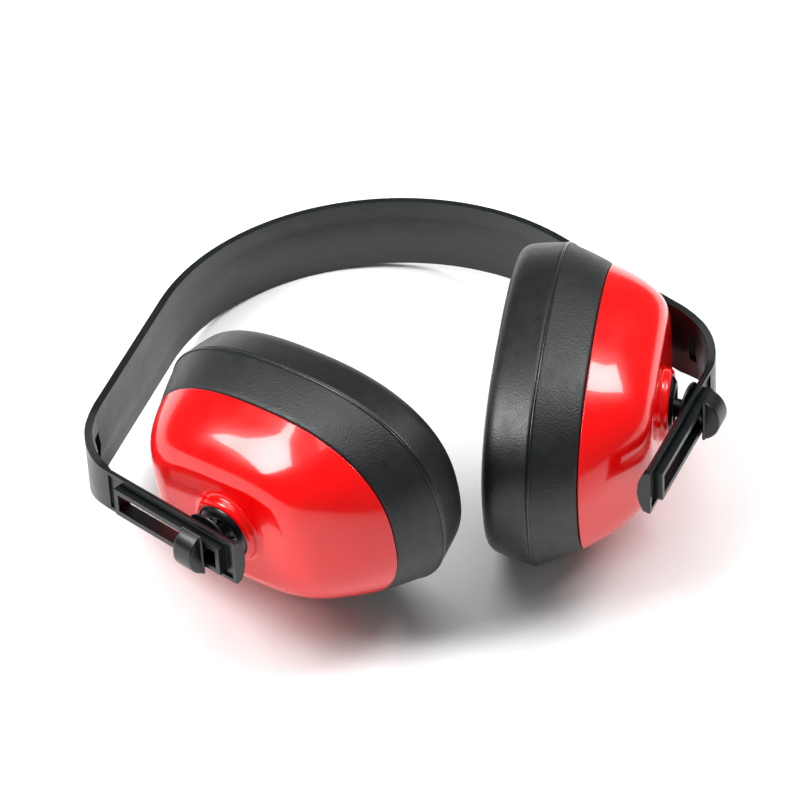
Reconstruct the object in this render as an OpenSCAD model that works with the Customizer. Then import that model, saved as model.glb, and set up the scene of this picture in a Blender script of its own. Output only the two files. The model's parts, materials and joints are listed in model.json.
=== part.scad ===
// Earmuff hearing protector, lying on a flat surface on its two ear cushions and its crown.
// A one-piece headband ends in two slotted arms. A slider runs in each slot and carries an ear
// cup on a ball joint. Band frame: X across the head, Y towards the crown, Z across the strap.
// Cup frame: X along the arm to its tip, Y across the strap, Z inward to the ear, origin at the ball.

/* [Headband] */
// Width of the strap
band_w = 24; // [20:0.5:28]
// Thickness of the strap and of the arms
band_t = 2.4; // [2:0.1:2.8]
// Outer radius of the crown arch
crown_r = 74.7; // [70:0.1:80]
// Angle that each half of the crown arch covers
crown_a = 59; // [56:0.5:62]
// Length of the straight side between crown and corner
side_len = 58.4; // [54:0.2:64]
// Outer radius of the corner between side and arm
corner_r = 22; // [18:0.5:26]
// Direction of the arm, turned from straight across the crown
arm_a = 124.6; // [118:0.2:130]
// Length of the arm
arm_len = 54.4; // [52:0.2:60]
// Width of the arm
arm_w = 14.8; // [13:0.2:17]
// Height of the raised rim round the slot
rim_h = 2.4; // [1.5:0.1:3]
// Width of the slot that guides the slider
slot_w = 6.2; // [5.6:0.1:7]
// Thickness of the arm's end stop
stop_t = 4.2; // [3:0.1:5]

/* [Sliders] */
// Distance of the left slider from the start of its arm
left_slide = 40; // [14:0.2:41]
// Distance of the right slider from the start of its arm
right_slide = 12.4; // [10:0.2:14]
// Radius of the thumb grip's round edge
grip_r = 7.5; // [6:0.1:8]
// Thickness of the thumb grip along the arm
grip_t = 7.4; // [7:0.2:10]
// Distance of the ball's centre from the arm's outer face
ball_drop = 12.8; // [12.6:0.1:13.6]
// Radius of the ball on the slider
ball_r = 4.5; // [4:0.1:4.8]

/* [Ear cups] */
// Half length of the cushion at its seam
cup_a = 52; // [50:0.5:54]
// Half width of the cushion at its seam
cup_b = 37.8; // [36:0.5:39]
// Wall thickness of the cup shell
shell_t = 2.3; // [2:0.1:2.6]
// Half length of the ear opening
ear_a = 30; // [27:0.5:32]
// Half width of the ear opening
ear_b = 18.5; // [17:0.5:20]
// Thickness of the cushion's vinyl cover
cover_t = 1; // [0.8:0.1:1.2]

/* [Pose at rest] */
// Left cup: tilt about the strap's width, tilt about the arm, turn in its own plane
left_turn = [-4.9, -6, 3];
// Right cup: tilt about the strap's width, tilt about the arm, turn in its own plane
right_turn = [12.8, -0.7, -12.3];
// Pitch of the band frame about X, then its roll about Y
rest_turn = [-13, -2.9, 0];
// Place of the band frame's origin above the surface
rest_at = [0.04, -15.08, 33.57];

/* [Hidden] */
$fn = 64;

eps = 0.01;
// Running gap between the slider and the arm, and radial play of every turning fit
slide_gap = 0.2;
play = 0.05;

// Headband outline, band frame: centre of the crown, end of the side, centre of the corner
crown_c = [0, 20.5];
side_end = crown_c + crown_r * [sin(crown_a), cos(crown_a)] + side_len * [cos(crown_a), -sin(crown_a)];
corner_c = side_end - corner_r * [sin(crown_a), cos(crown_a)];
arm_start = corner_c + corner_r * [sin(arm_a), cos(arm_a)];
arm_dir = [cos(arm_a), -sin(arm_a)];
arm_in = [-sin(arm_a), -cos(arm_a)];

// Slot and rim, as distances along the arm
rim_from = 5.8;
rim_to = 50;
rim_bar = 1.6;
rim_w = slot_w + 2 * rim_bar + 0.4;
stop_from = 50.2;

// Depths in the cup frame: arm faces, shoe, cup face, rim, seam and front of the cushion
arm_out = -ball_drop;
arm_in_face = arm_out + band_t;
rim_out = arm_out - rim_h;
shoe_t = 1;
shoe_r = 8.8;
shoe_face = arm_in_face + slide_gap + shoe_t;
face_d = -1.1;
rim_d = 17.6;
seam_d = 31.8;
shoulder_d = 45.2;
front_d = 47;

// Pivot: neck of the ball, cage round it, hub round the cage, ring on the shell
neck_r = 2.8;
cage_r = 6.3;
hub_r = 9.2;
hub_front = -5.2;
hub_back = 6;
flange_r = 10.2;
flange_d = 4;
tube_r = 12;
tube_end = 7.5;

// Ovals of the cup from its flat outer face to the cushion's front: half length, half width,
// squareness, depth and offset along the arm
face_oval = [24.4, 18.8, 4, face_d, -1.4];
brow_oval = [30.2, 23.8, 3.6, 1.2, -0.9];
flank_oval = [39.2, 29.3, 2.8, 9, 0.8];
rim_oval = [45.7, 33.4, 2.46, rim_d, 2.5];
seam_oval = [cup_a, cup_b, 2.46, seam_d, 2.9];
shoulder_oval = [49.6, 34.6, 2.46, shoulder_d, 1.6];
front_oval = [45.4, 30.6, 2.46, front_d, 1.6];
ear_at = 1.6;

// Superellipse with the given half length, half width and squareness
module oval(a, b, n) {
  steps = 44;
  polygon([for (i = [0 : steps - 1])
    let (t = (i + 0.5) * 360 / steps)
    [a * sign(cos(t)) * pow(abs(cos(t)), 2 / n), b * sign(sin(t)) * pow(abs(sin(t)), 2 / n)]]);
}

// Thin slice of an oval, grown all round by g and lifted by up
module slice(o, g = 0, up = 0) {
  translate([o[4], 0, o[3] + up]) linear_extrude(eps) oval(o[0] + g, o[1] + g, o[2]);
}

// Straight-sided oval prism
module oval_prism(a, b, from, to) {
  translate([ear_at, 0, from]) linear_extrude(to - from) oval(a, b, 2.3);
}

// Puts the band frame on the surface
module lying() {
  translate(rest_at) rotate(rest_turn) children();
}

// Left-hand parts are the right-hand ones mirrored
module on_side(side) {
  if (side == "left") lying() mirror([1, 0, 0]) children();
  else lying() children();
}

// Cup frame of a slider: s along the arm, at the ball's depth, not yet tilted
module slider_frame(side) {
  s = side == "left" ? left_slide : right_slide;
  on_side(side) at_arm(s, ball_drop) children();
}

module at_arm(s, depth) {
  translate([arm_start[0] + s * arm_dir[0] + depth * arm_in[0],
             arm_start[1] + s * arm_dir[1] + depth * arm_in[1], 0])
    rotate([90, 0, -arm_a]) children();
}

// The cup's three turns on the ball, one inside the other
module first_tilt(side) {
  t = side == "left" ? left_turn : right_turn;
  slider_frame(side) rotate([0, t[0], 0]) children();
}

module second_tilt(side) {
  t = side == "left" ? left_turn : right_turn;
  first_tilt(side) rotate([t[1], 0, 0]) children();
}

module cup_frame(side) {
  t = side == "left" ? left_turn : right_turn;
  second_tilt(side) rotate([0, 0, t[2]]) children();
}

function arc(c, r, from, to, n) =
  [for (i = [0 : n]) c + r * [sin(from + (to - from) * i / n), cos(from + (to - from) * i / n)]];

// Half of the strap as a flat outline, from the crown to the end of the arm
module strap_half() {
  tip = arm_start + arm_len * arm_dir;
  outer = concat(arc(crown_c, crown_r, 0, crown_a, 14), arc(corner_c, corner_r, crown_a, arm_a, 10), [tip]);
  inner = concat([tip + band_t * arm_in], arc(corner_c, corner_r - band_t, arm_a, crown_a, 10),
                 arc(crown_c, crown_r - band_t, crown_a, 0, 14));
  polygon(concat(outer, inner));
}

module strap() {
  reach = 200;
  taper = 12;
  intersection() {
    translate([0, 0, -band_w / 2]) linear_extrude(band_w) {
      strap_half();
      mirror([1, 0]) strap_half();
    }
    // The strap narrows to the arm's width round the corner
    rotate([90, 0, 90]) translate([0, 0, -reach / 2]) linear_extrude(reach)
      polygon([[-reach, -arm_w / 2], [-taper, -arm_w / 2], [taper, -band_w / 2], [reach, -band_w / 2],
               [reach, band_w / 2], [taper, band_w / 2], [-taper, arm_w / 2], [-reach, arm_w / 2]]);
  }
}

// Box along the arm, from s0 to s1, from depth d0 to d1 below the outer face, centred in width
module arm_box(s0, s1, d0, d1, w) {
  at_arm(0, 0) translate([s0, -w / 2, d0]) cube([s1 - s0, w, d1 - d0]);
}

module arm_added() {
  arm_box(rim_from, rim_to, -rim_h, band_t / 2, rim_w);
  // Rounded end stop on the inner face
  stop_round = 13;
  half_w = arm_w / 2 - 0.2;
  steps = 6;
  crown = [for (i = [-steps : steps])
    let (w = half_w * i / steps) [w, stop_t - stop_round + sqrt(pow(stop_round, 2) - pow(w, 2))]];
  at_arm(stop_from, 0) rotate([90, 0, 90]) linear_extrude(arm_len - stop_from - 0.3)
    polygon(concat(crown, [[half_w, band_t / 2], [-half_w, band_t / 2]]));
}

module arm_cut() {
  // Shallow channel in the outer face, on both sides of the rim
  channel_w = arm_w - 2.6;
  channel_d = 0.8;
  // Narrow ledge left beside the rim
  ledge = 0.2;
  difference() {
    arm_box(1, arm_len - 1.4, -1, channel_d, channel_w);
    arm_box(rim_from - ledge, rim_to + ledge, -2, 2, rim_w + 2 * ledge);
  }
  arm_box(rim_from + rim_bar, rim_to - rim_bar, -10, 10, slot_w);
  // Bevel along both inner edges
  bevel = 1.1;
  past = 3;
  half_w = arm_w / 2;
  for (z = [-1, 1])
    at_arm(-past, band_t) scale([1, z, 1]) rotate([90, 0, 90]) linear_extrude(arm_len + 2 * past)
      polygon([[half_w - bevel - 1, 1], [half_w + 1, -bevel - 1], [half_w + past, past],
               [half_w - bevel - 1, past]]);
  // Moulding recess inside the start of the corner, with a thin wall left outside it
  recess = [4, 7];
  wall = 1.2;
  translate([corner_c[0], corner_c[1], 0]) rotate([0, 0, 90 - crown_a - 6])
    translate([corner_r - 5, -recess[0] / 2, -recess[1] / 2]) cube([5 - wall, recess[0], recess[1]]);
}

module headband() {
  color([0.13, 0.17, 0.19]) lying() difference() {
    union() {
      strap();
      arm_added();
      mirror([1, 0, 0]) arm_added();
    }
    arm_cut();
    mirror([1, 0, 0]) arm_cut();
  }
}

// Thumb grip: a round-edged fin across the arm, on a thin base
module thumb_grip(side) {
  base = rim_out - slide_gap;
  base_t = 1.1;
  base_w = 2 * grip_r - 0.8;
  lip = 0.5;
  // The round edge's centre lies this far below the base, so that the fin is less than a half disc
  sink = 2;
  // Blind socket for the shoe's neck
  socket = [6.2, slot_w - 0.1, 1.8];
  color([0.12, 0.15, 0.17]) slider_frame(side) difference() {
    union() {
      intersection() {
        translate([-grip_t / 2, 0, base + sink]) rotate([0, 90, 0]) cylinder(r = grip_r, h = grip_t);
        translate([-20, -20, base - 20]) cube([40, 40, 20]);
      }
      translate([-grip_t / 2 - lip, -base_w / 2, base - base_t]) cube([grip_t + 2 * lip, base_w, base_t]);
    }
    translate([-socket[0] / 2, -socket[1] / 2, base - socket[2]]) cube([socket[0], socket[1], 5]);
  }
}

// Shoe on the inside of the arm: disc, neck through the slot, and the ball on its stem
module slider_shoe(side) {
  neck = [6, slot_w - 0.3];
  neck_end = rim_out - slide_gap - 1.6;
  color([0.10, 0.13, 0.15]) slider_frame(side) {
    translate([0, 0, shoe_face - shoe_t]) cylinder(r = shoe_r, h = shoe_t);
    translate([-neck[0] / 2, -neck[1] / 2, neck_end]) cube([neck[0], neck[1], shoe_face - neck_end]);
    translate([0, 0, shoe_face - eps]) cylinder(r = neck_r, h = -shoe_face);
    sphere(r = ball_r);
  }
}

// Split cage that snaps over the ball
module ball_cage(side) {
  from = -1.8;
  to = 2.5;
  slit = 1;
  color([0.85, 0.85, 0.82]) first_tilt(side) difference() {
    intersection() {
      sphere(r = cage_r);
      translate([-10, -10, from]) cube([20, 20, to - from]);
    }
    sphere(r = ball_r + play);
    translate([0, -slit / 2, -10]) cube([10, slit, 20]);
  }
}

// Hub that holds the cage and turns in the shell's ring
module pivot_hub(side) {
  nose = 1.6;
  nose_r = 7.4;
  mouth = [5.2, 6.3];
  color([0.10, 0.13, 0.15]) second_tilt(side) difference() {
    union() {
      translate([0, 0, hub_front + nose]) cylinder(r = hub_r, h = hub_back - hub_front - nose);
      translate([0, 0, hub_front]) cylinder(r1 = nose_r, r2 = hub_r, h = nose);
      translate([0, 0, flange_d]) cylinder(r = flange_r, h = hub_back - flange_d);
    }
    sphere(r = cage_r + play);
    cylinder(r = cage_r + play, h = 10);
    translate([0, 0, hub_front - 0.1]) cylinder(r1 = mouth[1], r2 = mouth[0], h = 1.7);
  }
}

// Plug that closes the hub behind the cage
module hub_plug(side) {
  from = 5;
  color([0.20, 0.22, 0.23]) second_tilt(side)
    translate([0, 0, from]) cylinder(r = cage_r, h = hub_back - from - 0.1);
}

// Outer form of the shell, grown all round by g
module shell_form(g) {
  hull() {
    slice(face_oval, g, -g);
    slice(brow_oval, g);
    slice(flank_oval, g);
    slice(rim_oval, g);
  }
}

// Cup shell with its raised ring and the tube that holds the hub
module cup_shell(side) {
  lip_r = 1.5;
  ring_r = hub_r + play + 0.45;
  color([0.78, 0.03, 0.05]) cup_frame(side) difference() {
    union() {
      difference() {
        shell_form(0);
        shell_form(-shell_t);
        translate([-80, -80, rim_d - eps]) cube(160);
      }
      translate([0, 0, face_d - 1.5 + eps]) cylinder(r = ring_r + lip_r, h = 2);
      translate([0, 0, face_d - 1.5]) rotate_extrude() translate([ring_r, 0]) circle(r = lip_r, $fn = 32);
      translate([0, 0, face_d]) cylinder(r = tube_r, h = tube_end - face_d);
    }
    translate([0, 0, -10]) cylinder(r = hub_r + play, h = 20);
    translate([0, 0, flange_d - 0.1]) cylinder(r = flange_r + 0.1, h = 20);
  }
}

// Cap that seals the tube on the inside of the cup
module socket_cap(side) {
  color([0.20, 0.22, 0.23]) cup_frame(side) {
    translate([0, 0, tube_end - 0.9]) cylinder(r = flange_r, h = 0.9);
    translate([0, 0, tube_end]) cylinder(r = tube_r, h = 1.2);
  }
}

// Slab of open-cell foam that lines the cup
module damping_foam(side) {
  gap = shell_t + 0.5;
  from = tube_end + 1.7;
  color([0.24, 0.25, 0.26]) cup_frame(side) intersection() {
    shell_form(-gap);
    translate([-80, -80, from]) cube([160, 160, rim_d - 0.8 - from]);
  }
}

// Stiff ring that carries the cushion and closes the shell's rim
module cushion_plate(side) {
  plate_t = 2;
  color([0.10, 0.11, 0.12]) cup_frame(side) difference() {
    union() {
      translate([rim_oval[4], 0, rim_d]) linear_extrude(plate_t)
        oval(rim_oval[0] - 0.8, rim_oval[1] - 0.8, rim_oval[2]);
      // Spigot that clips inside the shell's rim
      translate([rim_oval[4], 0, rim_d - 0.7]) linear_extrude(0.8)
        oval(rim_oval[0] - shell_t - 0.8, rim_oval[1] - shell_t - 0.8, rim_oval[2]);
    }
    // The cover's inner wall passes through the ring
    oval_prism(ear_a + cover_t + 0.3, ear_b + cover_t + 0.3, rim_d - 5, rim_d + 5);
  }
}

// Ring between the cushion's outer form and the ear opening, both set in by g
module cushion_form(g, from) {
  difference() {
    hull() {
      slice(rim_oval, -g, from);
      slice(seam_oval, -g);
      slice(shoulder_oval, -g);
      slice(front_oval, -g, -g);
    }
    oval_prism(ear_a + g, ear_b + g, 0, 80);
    // Rounded lip of the ear opening
    hull() {
      translate([ear_at, 0, front_d - 4.4 - g]) linear_extrude(eps) oval(ear_a + g, ear_b + g, 2.3);
      translate([ear_at, 0, front_d + 0.4 - g]) linear_extrude(eps) oval(ear_a + g + 5, ear_b + g + 5, 2.3);
    }
  }
}

module cushion_foam(side) {
  gap = 0.3;
  color([0.55, 0.53, 0.48]) cup_frame(side) cushion_form(cover_t + gap, 2.3);
}

// Vinyl skin, open at the back where the plate closes it
module cushion_cover(side) {
  color([0.11, 0.14, 0.16]) cup_frame(side) difference() {
    cushion_form(0, 0.1);
    cushion_form(cover_t, -2);
  }
}

headband();
thumb_grip("left");  // left_thumb_grip
slider_shoe("left");  // left_slider_shoe
ball_cage("left");  // left_ball_cage
pivot_hub("left");  // left_pivot_hub
hub_plug("left");  // left_hub_plug
cup_shell("left");  // left_cup_shell
socket_cap("left");  // left_socket_cap
damping_foam("left");  // left_damping_foam
cushion_plate("left");  // left_cushion_plate
cushion_foam("left");  // left_cushion_foam
cushion_cover("left");  // left_cushion_cover
thumb_grip("right");  // right_thumb_grip
slider_shoe("right");  // right_slider_shoe
ball_cage("right");  // right_ball_cage
pivot_hub("right");  // right_pivot_hub
hub_plug("right");  // right_hub_plug
cup_shell("right");  // right_cup_shell
socket_cap("right");  // right_socket_cap
damping_foam("right");  // right_damping_foam
cushion_plate("right");  // right_cushion_plate
cushion_foam("right");  // right_cushion_foam
cushion_cover("right");  // right_cushion_cover
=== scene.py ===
"""Earmuff hearing protector lying on its cushions: the looks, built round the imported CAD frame."""
import json
import math

import bmesh
import bpy
from mathutils import Matrix, Quaternion, Vector


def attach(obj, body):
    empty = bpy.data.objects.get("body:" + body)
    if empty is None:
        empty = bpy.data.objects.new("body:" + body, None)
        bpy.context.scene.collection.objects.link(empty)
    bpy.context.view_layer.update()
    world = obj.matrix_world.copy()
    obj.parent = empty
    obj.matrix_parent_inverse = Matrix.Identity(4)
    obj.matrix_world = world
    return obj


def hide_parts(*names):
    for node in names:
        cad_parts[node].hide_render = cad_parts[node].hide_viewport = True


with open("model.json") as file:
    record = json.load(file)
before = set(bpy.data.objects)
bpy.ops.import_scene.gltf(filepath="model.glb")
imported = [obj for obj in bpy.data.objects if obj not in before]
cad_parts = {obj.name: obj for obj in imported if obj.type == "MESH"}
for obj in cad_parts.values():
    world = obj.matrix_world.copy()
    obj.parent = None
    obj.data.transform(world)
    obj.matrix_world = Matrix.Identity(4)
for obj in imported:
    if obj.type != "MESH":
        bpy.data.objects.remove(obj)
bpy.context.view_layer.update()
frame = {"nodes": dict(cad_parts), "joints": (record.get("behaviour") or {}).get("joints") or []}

# Sizes in millimetres. The headband runs along its outer outline: arch, straight side, corner, arm.
# The rim, channel and stop are placed along the arm from its start, and the strap starts to widen at
# a height in the headband's frame.
MM = 0.001
BAND_W = 24
BAND_T = 2.4
CROWN_R = 74.7
CROWN_A = math.radians(59)
CROWN_C = Vector((0, 20.5))
SIDE_LEN = 58.4
CORNER_R = 22
ARM_A = math.radians(124.6)
ARM_LEN = 54.4
ARM_W = 14.8
RIM_H = 2.4
RIM_FROM = 5.8
RIM_TO = 50
RIM_BAR = 1.6
SLOT_W = 6.2
RIM_WALL = 1.8
CHANNEL_D = 0.8
CHANNEL_FROM = 1
CHANNEL_TO = ARM_LEN - 1.4
STOP_T = 4.2
STOP_FROM = 51.6
STOP_ROUND = 13
CREASE = 0.55
WIDENS_FROM = -12
WIDENS_OVER = 24
LEFT_SLIDE = 40
BALL_DROP = 12.8
BALL_R = 4.5
TURN_AT_REST = {"left": math.radians(3), "right": math.radians(-12.3)}

# Depths in a cup's own frame, from the ball's centre inward to the ear
ARM_OUT = -BALL_DROP
SHOE_FACE = ARM_OUT + BAND_T + 1.2
FACE_D = -1.1
RIM_D = 17.6
SEAM_D = 31.8
FRONT_D = 47
HUB_R = 9.2
TUBE_R = 12
TUBE_END = 7.5
SHELL_T = 2.3
# The cushion's ear opening, as half length and half width, and its offset along the arm
EAR = (30, 18.5)
EAR_AT = 1.6
SIDE_BULGE = 0.25
SWELL_FRAMES = 20

# Ovals of cup and cushion: half length, half width, squareness, offset along the arm, depth
FACE_OVAL = (24.4, 18.8, 4, -1.4, FACE_D)
BROW_OVAL = (30.2, 23.8, 3.6, -0.9, 1.2)
FLANK_OVAL = (39.2, 29.3, 2.8, 0.8, 9)
RIM_OVAL = (45.7, 33.4, 2.46, 2.5, RIM_D)
SEAM_OVAL = (52, 37.8, 2.46, 2.9, SEAM_D)
SHOULDER_OVAL = (49.6, 34.6, 2.46, 1.6, 45.2)
FRONT_OVAL = (45.4, 30.6, 2.46, 1.6, FRONT_D)

SIDES = ("left", "right")
ROUND = 128


# ---------------------------------------------------------------- frames

joints = {j["name"]: j for j in frame["joints"]}


def axis_of(name):
    return Vector(joints[name]["axis"])


def placed(x, y, z, at):
    """Matrix from local millimetres to the row frame's metres."""
    m = Matrix((x, y, z)).transposed().to_4x4()
    return Matrix.Translation(at) @ m @ Matrix.Scale(MM, 4)


def ball_of(side):
    return Vector(joints[f"{side}_turn"]["pos_m"])


def hand(side):
    return -1 if side == "left" else 1


def slider_frame(side):
    u = axis_of(f"{side}_slide")
    w = hand(side) * axis_of(f"{side}_end_tilt")
    return placed(u, w, hand(side) * u.cross(w), ball_of(side))


def hub_frame(side, turn=0.0):
    n = hand(side) * axis_of(f"{side}_turn")
    u = hand(side) * axis_of(f"{side}_side_tilt")
    w = hand(side) * n.cross(u)
    turned_u = math.cos(turn) * u + math.sin(turn) * w
    turned_w = math.cos(turn) * w - math.sin(turn) * u
    return placed(turned_u, turned_w, n, ball_of(side))


def cup_frame(side):
    return hub_frame(side, TURN_AT_REST[side])


def direction(angle):
    """Outward normal of the headband's outline where it has turned by angle from the crown."""
    return Vector((math.sin(angle), math.cos(angle)))


def onward(angle):
    return Vector((math.cos(angle), -math.sin(angle)))


ARCH_END = CROWN_R * CROWN_A
SIDE_END = ARCH_END + SIDE_LEN
CORNER_END = SIDE_END + CORNER_R * (ARM_A - CROWN_A)
side_start = CROWN_C + CROWN_R * direction(CROWN_A)
corner_c = side_start + SIDE_LEN * onward(CROWN_A) - CORNER_R * direction(CROWN_A)
arm_start = corner_c + CORNER_R * direction(ARM_A)


def outline(s):
    """Point on the headband's outer outline at arc length s from the crown, and its outward normal."""
    far = abs(s)
    if far <= ARCH_END:
        angle = far / CROWN_R
        point = CROWN_C + CROWN_R * direction(angle)
    elif far <= SIDE_END:
        angle = CROWN_A
        point = side_start + (far - ARCH_END) * onward(angle)
    elif far <= CORNER_END:
        angle = CROWN_A + (far - SIDE_END) / CORNER_R
        point = corner_c + CORNER_R * direction(angle)
    else:
        angle = ARM_A
        point = arm_start + (far - CORNER_END) * onward(angle)
    normal = direction(angle)
    if s < 0:
        point, normal = Vector((-point.x, point.y)), Vector((-normal.x, normal.y))
    return point, normal


def band_frame():
    """The headband's frame, found from the arms' directions and the left ball."""
    left, right = axis_of("left_slide"), axis_of("right_slide")
    x, y = (left - right).normalized(), -(left + right).normalized()
    z = axis_of("right_end_tilt")
    point, normal = outline(-(CORNER_END + LEFT_SLIDE))
    ball = point - BALL_DROP * normal
    return placed(x, y, z, ball_of("left") - MM * (ball.x * x + ball.y * y))


band = band_frame()


# ---------------------------------------------------------------- materials


def new_material(name, roughness, specular=0.5):
    material = bpy.data.materials.new(name)
    material.use_nodes = True
    tree = material.node_tree
    shader = tree.nodes["Principled BSDF"]
    shader.inputs["Roughness"].default_value = roughness
    shader.inputs["Specular IOR Level"].default_value = specular
    return material, tree, shader


def pattern(tree, kind, scale, stretch=(1, 1, 1), **inputs):
    """A texture node in the piece's own coordinates. Scale is in repeats per metre."""
    coordinates = tree.nodes.new("ShaderNodeTexCoord")
    mapping = tree.nodes.new("ShaderNodeMapping")
    mapping.inputs["Scale"].default_value = stretch
    tree.links.new(coordinates.outputs["Object"], mapping.inputs["Vector"])
    texture = tree.nodes.new(kind)
    texture.inputs["Scale"].default_value = scale
    for key, value in inputs.items():
        texture.inputs[key].default_value = value
    tree.links.new(mapping.outputs["Vector"], texture.inputs["Vector"])
    return texture


def noise(tree, scale, detail=4.0, stretch=(1, 1, 1)):
    return pattern(tree, "ShaderNodeTexNoise", scale, stretch, Detail=detail).outputs["Fac"]


def cells(tree, scale):
    return pattern(tree, "ShaderNodeTexVoronoi", scale).outputs["Distance"]


def mottle(tree, shader, dark, light, value, low=0.35, high=0.65):
    """Base colour that drifts between two tones."""
    ramp = tree.nodes.new("ShaderNodeValToRGB")
    ramp.color_ramp.elements[0].position = low
    ramp.color_ramp.elements[0].color = (*dark, 1)
    ramp.color_ramp.elements[1].position = high
    ramp.color_ramp.elements[1].color = (*light, 1)
    tree.links.new(value, ramp.inputs["Fac"])
    tree.links.new(ramp.outputs["Color"], shader.inputs["Base Color"])


def uneven_gloss(tree, shader, low, high, value):
    mapped = tree.nodes.new("ShaderNodeMapRange")
    mapped.inputs["From Min"].default_value = 0.3
    mapped.inputs["From Max"].default_value = 0.7
    mapped.inputs["To Min"].default_value = low
    mapped.inputs["To Max"].default_value = high
    tree.links.new(value, mapped.inputs["Value"])
    tree.links.new(mapped.outputs["Result"], shader.inputs["Roughness"])


def relief(tree, shader, *layers):
    """Chains bumps, each layer being (value, strength, depth in millimetres)."""
    below = None
    for value, strength, depth in layers:
        bump = tree.nodes.new("ShaderNodeBump")
        bump.inputs["Strength"].default_value = strength
        bump.inputs["Distance"].default_value = depth * MM
        tree.links.new(value, bump.inputs["Height"])
        if below is not None:
            tree.links.new(below, bump.inputs["Normal"])
        below = bump.outputs["Normal"]
    tree.links.new(below, shader.inputs["Normal"])


def moulded_plastic(name, dark, light, gloss, grain=0.25):
    """Satin injection-moulded polymer: fine spark-eroded grain, flow streaks and light scuffing."""
    material, tree, shader = new_material(name, gloss[0])
    mottle(tree, shader, dark, light, noise(tree, 45, 6))
    uneven_gloss(tree, shader, gloss[0], gloss[1], noise(tree, 130, 5, (1, 1, 3)))
    scuffs = noise(tree, 60, 8, (1, 9, 1))
    relief(tree, shader, (noise(tree, 2400, 2), grain, 0.05), (scuffs, 0.06, 0.2))
    return material


def glossy_red():
    """Pigmented high-gloss shell: a clear skin with a trace of orange peel."""
    material, tree, shader = new_material("shell_gloss_red", 0.22)
    mottle(tree, shader, (0.72, 0.0006, 0.001), (0.9, 0.001, 0.0016), noise(tree, 14, 3))
    uneven_gloss(tree, shader, 0.16, 0.26, noise(tree, 90, 4))
    shader.inputs["Coat Weight"].default_value = 0.5
    shader.inputs["Specular IOR Level"].default_value = 0.3
    shader.inputs["Coat Roughness"].default_value = 0.05
    relief(tree, shader, (noise(tree, 38, 2), 0.12, 0.5), (noise(tree, 700, 2), 0.05, 0.03))
    return material


def vinyl(name, tone, gloss, grain):
    """Embossed vinyl: pebbled cells over a finer grain, with a faint sheen."""
    material, tree, shader = new_material(name, gloss[0])
    dark = tuple(0.72 * c for c in tone)
    mottle(tree, shader, dark, tone, noise(tree, 420, 5))
    uneven_gloss(tree, shader, gloss[0], gloss[1], noise(tree, 260, 4))
    shader.inputs["Sheen Weight"].default_value = 0.02
    shader.inputs["Sheen Roughness"].default_value = 0.5
    relief(tree, shader, (cells(tree, 1500), grain, 0.16), (noise(tree, 3800, 3), grain, 0.06),
           (noise(tree, 110, 4), 0.06, 0.3))
    return material


def foam_with_painted_pore_shade(name, dark, light, scale):
    """Open-cell foam: pale walls, with painted shade in the pores between them."""
    material, tree, shader = new_material(name, 0.95, 0.2)
    # Painted shade: the ramp gives the middles of the Voronoi cells (the pores) the dark tone and their
    # walls the light one.
    mottle(tree, shader, dark, light, cells(tree, scale), 0.1, 0.6)
    relief(tree, shader, (cells(tree, scale), 0.9, 0.8), (noise(tree, 2 * scale, 5), 0.5, 0.3))
    return material


def paper_floor():
    material, tree, shader = new_material("floor_paper", 0.9, 0.1)
    mottle(tree, shader, (0.9, 0.9, 0.9), (0.94, 0.94, 0.94), noise(tree, 8, 5))
    relief(tree, shader, (noise(tree, 900, 4), 0.1, 0.1))
    return material


BAND = moulded_plastic("band_moulded", (0.0012, 0.0026, 0.0032), (0.0026, 0.0052, 0.0062), (0.27, 0.38))
SLIDER = moulded_plastic("slider_moulded", (0.0008, 0.0014, 0.0022), (0.0018, 0.003, 0.0042), (0.26, 0.36))
ACETAL = moulded_plastic("cage_acetal", (0.72, 0.72, 0.67), (0.82, 0.82, 0.78), (0.30, 0.45), 0.15)
INNER = moulded_plastic("inner_moulded", (0.015, 0.018, 0.02), (0.03, 0.034, 0.037), (0.5, 0.62), 0.4)
RED = glossy_red()
VINYL_SIDE = vinyl("vinyl_grained", (0.0022, 0.0042, 0.0055), (0.42, 0.52), 0.4)
VINYL_FRONT = vinyl("vinyl_smooth", (0.0012, 0.0024, 0.0034), (0.36, 0.44), 0.2)
VINYL_WELD = vinyl("vinyl_weld", (0.003, 0.005, 0.006), (0.2, 0.28), 0.1)
# The first, darker tone of each foam is the painted shade in its pores.
LINING = foam_with_painted_pore_shade("lining_foam", (0.012, 0.013, 0.014), (0.06, 0.064, 0.07), 850)
CUSHION_FOAM = foam_with_painted_pore_shade("cushion_foam", (0.25, 0.23, 0.19), (0.55, 0.52, 0.45), 1500)


# ---------------------------------------------------------------- mesh helpers


def make_piece(name, points, faces, matrix, body, materials, replaces=(), pick=None):
    """Builds a mesh piece from local millimetres and puts it on its body."""
    mesh = bpy.data.meshes.new(name)
    mesh.from_pydata([matrix @ Vector(p) for p in points], [], faces)
    for material in materials:
        mesh.materials.append(material)
    work = bmesh.new()
    work.from_mesh(mesh)
    if pick:
        for face in work.faces:
            face.material_index = pick(face.index)
    bmesh.ops.recalc_face_normals(work, faces=work.faces)
    work.to_mesh(mesh)
    work.free()
    mesh.shade_smooth()
    piece = bpy.data.objects.new(name, mesh)
    bpy.context.scene.collection.objects.link(piece)
    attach(piece, body)
    if replaces:
        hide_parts(*replaces)
    return piece


def soften(piece, width, segments=3, angle=35):
    """Rounds the piece's sharp edges."""
    bevel = piece.modifiers.new("edges", "BEVEL")
    bevel.width = width * MM
    bevel.segments = segments
    bevel.limit_method = "ANGLE"
    bevel.angle_limit = math.radians(angle)
    bevel.harden_normals = False
    normals = piece.modifiers.new("normals", "WEIGHTED_NORMAL")
    normals.keep_sharp = False
    normals.weight = 80


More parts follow.
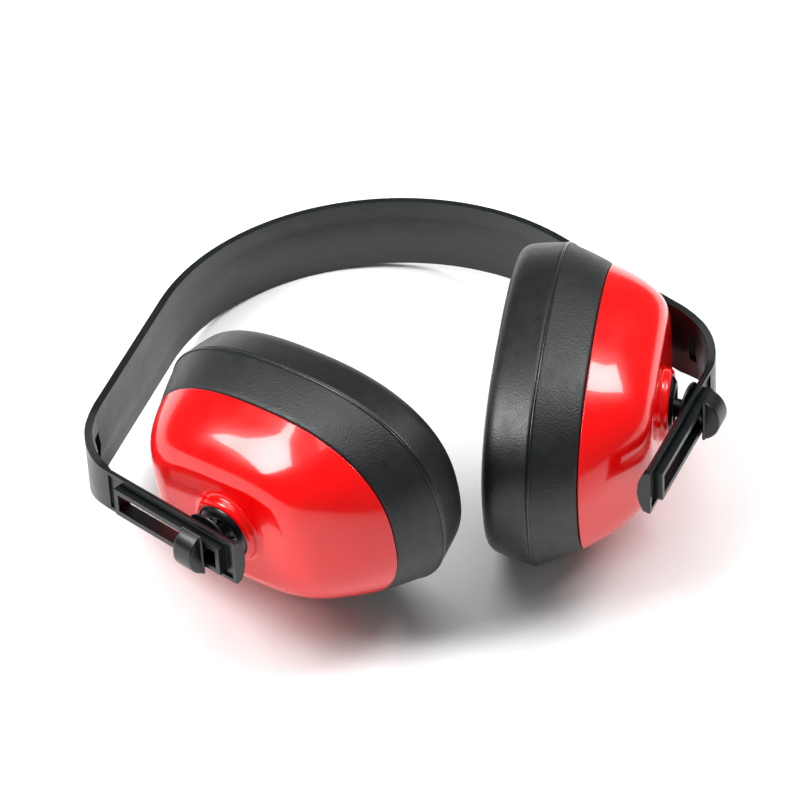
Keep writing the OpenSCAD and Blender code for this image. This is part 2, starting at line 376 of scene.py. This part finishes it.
def ring_points(oval, count=ROUND):
    """Points of a superellipse at even angles: (half length, half width, squareness, offset, depth)."""
    a, b, n, at, depth = oval
    points = []
    for i in range(count):
        t = 2 * math.pi * i / count
        c, s = math.cos(t), math.sin(t)
        r = (abs(c / a) ** n + abs(s / b) ** n) ** (-1 / n)
        points.append((at + r * c, r * s, depth))
    return points


def loft(rings, closed, count=ROUND):
    """Skin over a row of ovals. It closes on itself, or ends in two caps."""
    points, faces = [], []
    for oval in rings:
        points += ring_points(oval, count)
    last = len(rings) if closed else len(rings) - 1
    for i in range(last):
        a, b = i * count, ((i + 1) % len(rings)) * count
        for k in range(count):
            m = (k + 1) % count
            faces.append((a + k, a + m, b + m, b + k))
    if not closed:
        faces.append(tuple(range(count)))
        faces.append(tuple(range((len(rings) - 1) * count, len(rings) * count)))
    return points, faces


def blended(a, b, t):
    return tuple(x + (y - x) * t for x, y in zip(a, b))


def rounded(rings, times):
    """Cuts the corners of a row of ovals, so that its profile turns smoothly."""
    for _ in range(times):
        cut = [rings[0]]
        for a, b in zip(rings, rings[1:]):
            cut += [blended(a, b, 0.25), blended(a, b, 0.75)]
        rings = cut + [rings[-1]]
    return rings


def inset(oval, by, deeper=0.0):
    a, b, n, at, depth = oval
    return (a - by, b - by, n, at, depth + deeper)


def circle(r, depth):
    return (r, r, 2, 0, depth)


def arc_circles(r, depth, radius, start, end, steps):
    """Circles whose profile is an arc of the given radius round (r, depth), angles in degrees."""
    rings = []
    for i in range(steps + 1):
        t = math.radians(start + (end - start) * i / steps)
        rings.append(circle(r + radius * math.cos(t), depth - radius * math.sin(t)))
    return rings


def merged(*parts):
    """Several (points, faces) lists as one."""
    points, faces = [], []
    for part_points, part_faces in parts:
        base = len(points)
        points += part_points
        faces += [tuple(base + i for i in face) for face in part_faces]
    return points, faces


# ---------------------------------------------------------------- headband


def spaced(start, end, step):
    count = max(1, round((end - start) / step))
    return [start + (end - start) * i / count for i in range(count + 1)]


# Lines of the headband's lattice: along it from the crown, across it, and in from its outer face
RECESS = (SIDE_END + 0.3, SIDE_END + 4.3)
STRAP_LINES = sorted(set(
    [round(s, 3) for s in spaced(0, ARCH_END, 3) + spaced(ARCH_END, SIDE_END, 4)
     + [RECESS[0]] + spaced(RECESS[1], CORNER_END, 1.6)]
    + [round(CORNER_END + a, 3) for a in
       [CHANNEL_FROM, RIM_FROM, RIM_FROM + RIM_BAR, 14, 22, 30, 38, RIM_TO - RIM_BAR, RIM_TO,
        STOP_FROM, CHANNEL_TO, ARM_LEN]]))
HALF = ARM_W / 2
RIM_HALF = SLOT_W / 2 + RIM_WALL
CHAMFER = 1.2
WIDTH_LINES = [-HALF, CHAMFER - HALF, -RIM_HALF, -SLOT_W / 2, 0,
               SLOT_W / 2, RIM_HALF, HALF - CHAMFER, HALF]
DEPTH_LINES = [-RIM_H, 0, CHANNEL_D, CHAMFER, BAND_T, STOP_T]


def band_filled(s, w, d):
    """Whether the headband fills the point s along it, w from its middle and d below its outer face."""
    far, half = abs(s), abs(w)
    along = far - CORNER_END
    on_rim = RIM_FROM < along < RIM_TO and half < RIM_HALF
    in_slot = RIM_FROM + RIM_BAR < along < RIM_TO - RIM_BAR and half < SLOT_W / 2
    in_recess = RECESS[0] < far < RECESS[1] and half < SLOT_W / 2 and d > CHAMFER
    if in_slot or in_recess:
        return False
    if d < 0:
        return on_rim
    if d > BAND_T:
        return along > STOP_FROM
    in_channel = CHANNEL_FROM < along < CHANNEL_TO and half < HALF - CHAMFER and d < CHANNEL_D
    return on_rim or not in_channel


def band_point(s, w, d):
    """A lattice point in the headband's frame. The strap widens to its crown, with a low ridge inside."""
    point, normal = outline(s)
    widen = min(1, max(0, (point.y - WIDENS_FROM) / WIDENS_OVER))
    half = HALF + (BAND_W / 2 - HALF) * widen
    on_arm = abs(s) > CORNER_END - 1
    if d == BAND_T and w == 0 and not on_arm:
        d += CREASE
    if d == BAND_T and abs(w) == HALF and on_arm:
        d, w = d - CHAMFER / 2, math.copysign(HALF - CHAMFER / 2, w)
    if d == STOP_T:
        d -= STOP_ROUND - math.sqrt(STOP_ROUND ** 2 - w ** 2)
    place = point - d * normal
    return (place.x, place.y, w * half / HALF)


def make_headband():
    """Skin of a bent lattice of cells, so that every face is a quad."""
    lines = (sorted([-s for s in STRAP_LINES if s > 0] + STRAP_LINES), WIDTH_LINES, DEPTH_LINES)
    sizes = [len(line) - 1 for line in lines]
    middle = [[(a + b) / 2 for a, b in zip(line, line[1:])] for line in lines]

    def filled(cell):
        if any(not 0 <= c < n for c, n in zip(cell, sizes)):
            return False
        return band_filled(*(middle[k][cell[k]] for k in range(3)))

    index, points, faces = {}, [], []

    def corner(cell):
        if cell not in index:
            index[cell] = len(points)
            points.append(band_point(*(lines[k][cell[k]] for k in range(3))))
        return index[cell]

    for i in range(sizes[0]):
        for j in range(sizes[1]):
            for k in range(sizes[2]):
                cell = (i, j, k)
                if not filled(cell):
                    continue
                for axis in range(3):
                    for side in (0, 1):
                        beyond = tuple(c + (2 * side - 1) * (m == axis) for m, c in enumerate(cell))
                        if filled(beyond):
                            continue
                        p, q = [m for m in range(3) if m != axis]
                        square = []
                        for dp, dq in ((0, 0), (1, 0), (1, 1), (0, 1)):
                            at = list(cell)
                            at[axis] += side
                            at[p] += dp
                            at[q] += dq
                            square.append(corner(tuple(at)))
                        faces.append(tuple(square))
    piece = make_piece("headband_moulding", points, faces, band, "headband", [BAND],
                       ["headband"])
    soften(piece, 0.35)


# ---------------------------------------------------------------- sliders and pivots


def block(low, high):
    """A box as (points, faces)."""
    points = [(x, y, z) for x in (low[0], high[0]) for y in (low[1], high[1]) for z in (low[2], high[2])]
    return points, [(0, 1, 3, 2), (4, 6, 7, 5), (0, 4, 5, 1), (2, 3, 7, 6), (0, 2, 6, 4), (1, 5, 7, 3)]


def prism(outline_points, start, end):
    """Outline in (w, depth), extruded along the arm."""
    count = len(outline_points)
    points = [(start, w, d) for w, d in outline_points] + [(end, w, d) for w, d in outline_points]
    faces = [(i, (i + 1) % count, count + (i + 1) % count, count + i) for i in range(count)]
    return points, faces + [tuple(range(count)), tuple(range(count, 2 * count))]


def make_thumb_grip(side):
    """Round-edged fin across the arm, standing on its base plate."""
    base = ARM_OUT - RIM_H - 0.2
    grip_r, half_t, sink, lip = 7.5, 3.7, 2, 0.5
    low = math.asin(sink / grip_r)
    angles = [low + (math.pi - 2 * low) * i / 24 for i in range(25)]
    fin = [(grip_r * math.cos(a), base + sink - grip_r * math.sin(a)) for a in angles]
    plate = block((-half_t - lip, 0.4 - grip_r, base - 1.1), (half_t + lip, grip_r - 0.4, base))
    points, faces = merged(prism(fin, -half_t, half_t), plate)
    piece = make_piece(f"{side}_grip", points, faces, slider_frame(side), f"{side}_slider",
                       [SLIDER], [f"{side}_thumb_grip"])
    soften(piece, 0.7)


def make_shoe(side):
    """Disc, stem and ball turned as one, with the square neck that runs in the slot."""
    rings = ([circle(0.4, SHOE_FACE - 1), circle(8.2, SHOE_FACE - 1)]
             + arc_circles(8.4, SHOE_FACE - 0.6, 0.4, 80, -80, 6)
             + [circle(4.2, SHOE_FACE), circle(3.2, SHOE_FACE + 0.4), circle(2.8, SHOE_FACE + 1.4)]
             + arc_circles(0, 0, BALL_R, 51, -86, 18))
    neck = block((-3, -2.95, ARM_OUT - RIM_H - 1.7), (3, 2.95, SHOE_FACE - 0.5))
    points, faces = merged(loft(rings, False, 64), neck)
    make_piece(f"{side}_shoe", points, faces, slider_frame(side), f"{side}_slider",
               [SLIDER], [f"{side}_slider_shoe"])


def make_hub(side):
    """Domed hub that shows inside the shell's ring, bored for the ball's cage, with a flange behind."""
    cage, flange = 6.35, 10.2
    rings = ([circle(5.2, -3.6), circle(5.9, -5)]
             + rounded([circle(6.2, -5.2), circle(7.4, -5.2), circle(9.15, -3.6), circle(HUB_R, -2)], 2)
             + [circle(HUB_R, 3.8), circle(HUB_R + 0.2, 4), circle(10.1, 4), circle(flange, 4.2),
                circle(flange, 5.9), circle(10.1, 6), circle(cage, 6), circle(cage, 0)]
             + arc_circles(0, 0, cage, 12, 34, 4))
    points, faces = loft(rings, True, 96)
    make_piece(f"{side}_hub_body", points, faces, hub_frame(side), f"{side}_hub",
               [SLIDER], [f"{side}_pivot_hub"])


# ---------------------------------------------------------------- cups


def make_shell(side):
    """Cup shell as one closed skin: ring, flat face, shoulder, flank, rim, and the hollow inside."""
    bore = HUB_R + 0.05
    lip = arc_circles(bore + 0.45, FACE_D - 1.5, 1.5, 107, 0, 10)
    root = [circle(11.3, FACE_D - 0.9), circle(11.7, FACE_D - 0.3), circle(12.8, FACE_D)]
    outside = rounded([(13.2, 13.2, 2, 0, FACE_D), (21, 16.8, 3.2, -1, FACE_D - 0.05), FACE_OVAL,
                       BROW_OVAL, FLANK_OVAL, RIM_OVAL], 3)
    rim = [inset(RIM_OVAL, 0.15, 0.15), inset(RIM_OVAL, SHELL_T - 0.2, 0.15), inset(RIM_OVAL, SHELL_T)]
    inside = [inset(FLANK_OVAL, SHELL_T, 0.6), inset(BROW_OVAL, SHELL_T, 1.2),
              inset(FACE_OVAL, SHELL_T, SHELL_T), circle(TUBE_R + 0.6, FACE_D + SHELL_T)]
    tube = [circle(TUBE_R, FACE_D + SHELL_T + 0.6), circle(TUBE_R, TUBE_END), circle(10.3, TUBE_END),
            circle(10.3, 3.9), circle(bore, 3.9)]
    points, faces = loft(lip + root + outside + rim + inside + tube, True)
    make_piece(f"{side}_shell", points, faces, cup_frame(side), f"{side}_cup",
               [RED], [f"{side}_cup_shell"])


def cushion_rings(shrink):
    """Ovals round the cushion's section, from its back edge over seam and front to the ear opening."""
    ear = (EAR[0] + shrink, EAR[1] + shrink, 2.3, EAR_AT)
    side_band = [inset(RIM_OVAL, 0.9 + shrink, 0.25 + shrink), inset(RIM_OVAL, shrink - 0.1, 0.5 + shrink)]
    for t in (0.12, 0.25, 0.38, 0.5, 0.62, 0.75, 0.87, 0.96):
        bulge = SIDE_BULGE * math.sin(math.pi * t)
        side_band.append(inset(blended(RIM_OVAL, SEAM_OVAL, t), shrink - bulge))
    seam = [inset(SEAM_OVAL, 0.15 + shrink, -0.35), inset(SEAM_OVAL, 0.6 + shrink),
            inset(SEAM_OVAL, 0.3 + shrink, 0.35)]
    roll = rounded([inset(SEAM_OVAL, shrink, 0.9),
                    inset(blended(SEAM_OVAL, SHOULDER_OVAL, 0.5), shrink - 0.4),
                    inset(SHOULDER_OVAL, shrink - 0.3, 0.4),
                    inset(FRONT_OVAL, shrink + 0.3, 0.3 - shrink),
                    (39, 25.5, 2.4, EAR_AT, FRONT_D - 0.9 - shrink),
                    (ear[0] + 2.4, ear[1] + 2.4, 2.3, EAR_AT, FRONT_D - 2.6 - shrink),
                    (*ear, FRONT_D - 7 - shrink)], 2)
    wall = [(*ear, d) for d in (36, 31, 26, 22, RIM_D + 0.6 + shrink)]
    return side_band, seam, roll, wall


def puffed(piece, pinned, cap):
    """Swells a padded piece with a short pressure run. Pinned points stay, and no point passes cap."""
    group = piece.vertex_groups.new(name="pinned")
    group.add(pinned, 1.0, "REPLACE")
    rest = [v.co.copy() for v in piece.data.vertices]
    modifier = piece.modifiers.new("swell", "CLOTH")
    cloth = modifier.settings
    cloth.vertex_group_mass = "pinned"
    cloth.quality = 8
    cloth.mass = 0.3
    cloth.tension_stiffness = 8
    cloth.compression_stiffness = 8
    cloth.shear_stiffness = 4
    cloth.bending_stiffness = 0.3
    cloth.use_pressure = True
    cloth.uniform_pressure_force = 4
    cloth.effector_weights.gravity = 0
    modifier.point_cache.frame_start = 1
    modifier.point_cache.frame_end = SWELL_FRAMES
    scene = bpy.context.scene
    for number in range(1, SWELL_FRAMES + 1):
        scene.frame_set(number)
    swollen = piece.evaluated_get(bpy.context.evaluated_depsgraph_get()).to_mesh()
    moved = [v.co.copy() for v in swollen.vertices]
    piece.to_mesh_clear()
    piece.modifiers.remove(modifier)
    for vertex, start, end in zip(piece.data.vertices, rest, moved):
        step = end - start
        if step.length > cap * MM:
            step = step.normalized() * cap * MM
        vertex.co = start + step
    scene.frame_set(1)
    travel = [(v.co - r).length / MM for v, r in zip(piece.data.vertices, rest)]
    print(f"{piece.name} swelled by up to {max(travel):.2f} mm, {sum(travel) / len(travel):.2f} on average")


def make_cushion(side):
    """Vinyl cushion: grained side band, welded seam, smoother front roll and ear opening."""
    side_band, seam, roll, wall = cushion_rings(0)
    rings = side_band + seam + roll + wall
    points, faces = loft(rings, True)
    front_from = len(side_band) + 1
    cover = make_piece(f"{side}_cushion", points, faces, cup_frame(side), f"{side}_cup",
                       [VINYL_SIDE, VINYL_FRONT], [f"{side}_cushion_cover"],
                       pick=lambda index: int(index // ROUND >= front_from))
    back = len(rings) - len(wall)
    held = [0, 1] + list(range(len(side_band), len(side_band) + 3)) + list(range(back + 1, len(rings)))
    pinned = [ring * ROUND + k for ring in held for k in range(ROUND)]
    puffed(cover, pinned, 1.2)
    finer = cover.modifiers.new("finer", "SUBSURF")
    finer.levels = finer.render_levels = 1


def make_weld(side):
    """Thin welded bead that closes the cushion's seam."""
    bead, sides = 0.42, 8
    rings = []
    for i in range(sides):
        t = 2 * math.pi * i / sides
        rings.append(inset(SEAM_OVAL, 0.15 - bead * math.cos(t), bead * math.sin(t)))
    points, faces = loft(rings, True, 2 * ROUND)
    make_piece(f"{side}_cushion_weld", points, faces, cup_frame(side), f"{side}_cup",
               [VINYL_WELD])


def make_foam_ring(side):
    """Soft ring inside the vinyl."""
    side_band, _, roll, wall = cushion_rings(1.6)
    rings = [r for r in side_band if r[4] > 20.5] + roll + [r for r in wall if r[4] > 20.5]
    points, faces = loft(rings, True, 64)
    ring = make_piece(f"{side}_foam_ring", points, faces, cup_frame(side), f"{side}_cup",
                      [CUSHION_FOAM], [f"{side}_cushion_foam"])


def make_lining(side):
    """Slab of open-cell foam in the cup, its front crowned by the way it is pressed in."""
    gap = SHELL_T + 0.6
    bottom, top = 9.6, RIM_D - 0.8
    wide = inset(RIM_OVAL, gap + 0.6)
    rings = [(2, 1.5, 2, 1, bottom), inset(FLANK_OVAL, gap + 6, 0.5), inset(FLANK_OVAL, gap + 0.8, 1.2),
             (*wide[:4], top - 2), (wide[0] - 0.4, wide[1] - 0.4, *wide[2:4], top - 0.9)]
    rings += [(wide[0] * f, wide[1] * f, wide[2], wide[3], top - 0.9 + 0.9 * (1 - f ** 2))
              for f in (0.94, 0.8, 0.6, 0.4, 0.2, 0.05)]
    points, faces = loft(rings, False, 96)
    slab = make_piece(f"{side}_lining", points, faces, cup_frame(side), f"{side}_cup",
                      [LINING], [f"{side}_damping_foam"])


# ---------------------------------------------------------------- setting


def finish_cad_nodes():
    """Materials for the small hard pieces that the CAD model shows as they are."""
    finishes = {"ball_cage": ACETAL, "hub_plug": INNER, "socket_cap": INNER, "cushion_plate": INNER}
    for side in SIDES:
        for name, material in finishes.items():
            node = frame["nodes"][f"{side}_{name}"]
            node.data.materials.clear()
            node.data.materials.append(material)


def make_floor():
    """Plain sheet that runs past every edge of the picture."""
    half = 4
    mesh = bpy.data.meshes.new("floor")
    corners = [(-half, -half, 0), (half, -half, 0), (half, half, 0), (-half, half, 0)]
    mesh.from_pydata(corners, [], [(0, 1, 2, 3)])
    mesh.materials.append(paper_floor())
    floor = bpy.data.objects.new("floor", mesh)
    bpy.context.scene.collection.objects.link(floor)


def softbox(name, at, target, size, power):
    """Rectangular area light aimed at target."""
    light = bpy.data.lights.new(name, "AREA")
    light.shape = "RECTANGLE"
    light.size, light.size_y = size
    light.energy = power
    lamp = bpy.data.objects.new(name, light)
    lamp.location = at
    lamp.rotation_euler = (Vector(target) - Vector(at)).to_track_quat("-Z", "Y").to_euler()
    bpy.context.scene.collection.objects.link(lamp)


def make_lights():
    """Left key, right fill and a broad top light, over a dim white surround."""
    centre = (0, 0, 0.04)
    softbox("key", (-0.75, 0.1, 0.75), centre, (0.42, 0.42), 11)
    softbox("fill", (0.75, 0.15, 1.0), centre, (0.3, 0.5), 9)
    softbox("top", (-0.1, 0.5, 1.7), centre, (1.6, 1.2), 22)
    bpy.context.scene.view_settings.view_transform = "Standard"
    world = bpy.data.worlds.new("studio")
    bpy.context.scene.world = world
    world.use_nodes = True
    background = world.node_tree.nodes["Background"]
    background.inputs["Color"].default_value = (1, 1, 1, 1)
    background.inputs["Strength"].default_value = 0.2


def make_camera():
    """Long lens, a little left of straight ahead and well above the surface."""
    at = Vector((-0.2453, -0.8872, 1.1076))
    target = Vector((-0.0001, -0.0125, 0.035))
    roll = math.radians(4.51)
    camera = bpy.data.cameras.new("camera")
    camera.sensor_width = 36
    camera.lens = 207.8
    holder = bpy.data.objects.new("camera", camera)
    holder.location = at
    aim = (target - at).to_track_quat("-Z", "Y") @ Quaternion((0, 0, 1), roll)
    holder.rotation_euler = aim.to_euler()
    bpy.context.scene.collection.objects.link(holder)
    bpy.context.scene.camera = holder


make_headband()
for side in SIDES:
    make_thumb_grip(side)
    make_shoe(side)
    make_hub(side)
    make_shell(side)
    make_cushion(side)
    make_weld(side)
    make_foam_ring(side)
    make_lining(side)
finish_cad_nodes()
make_floor()
make_lights()
make_camera()
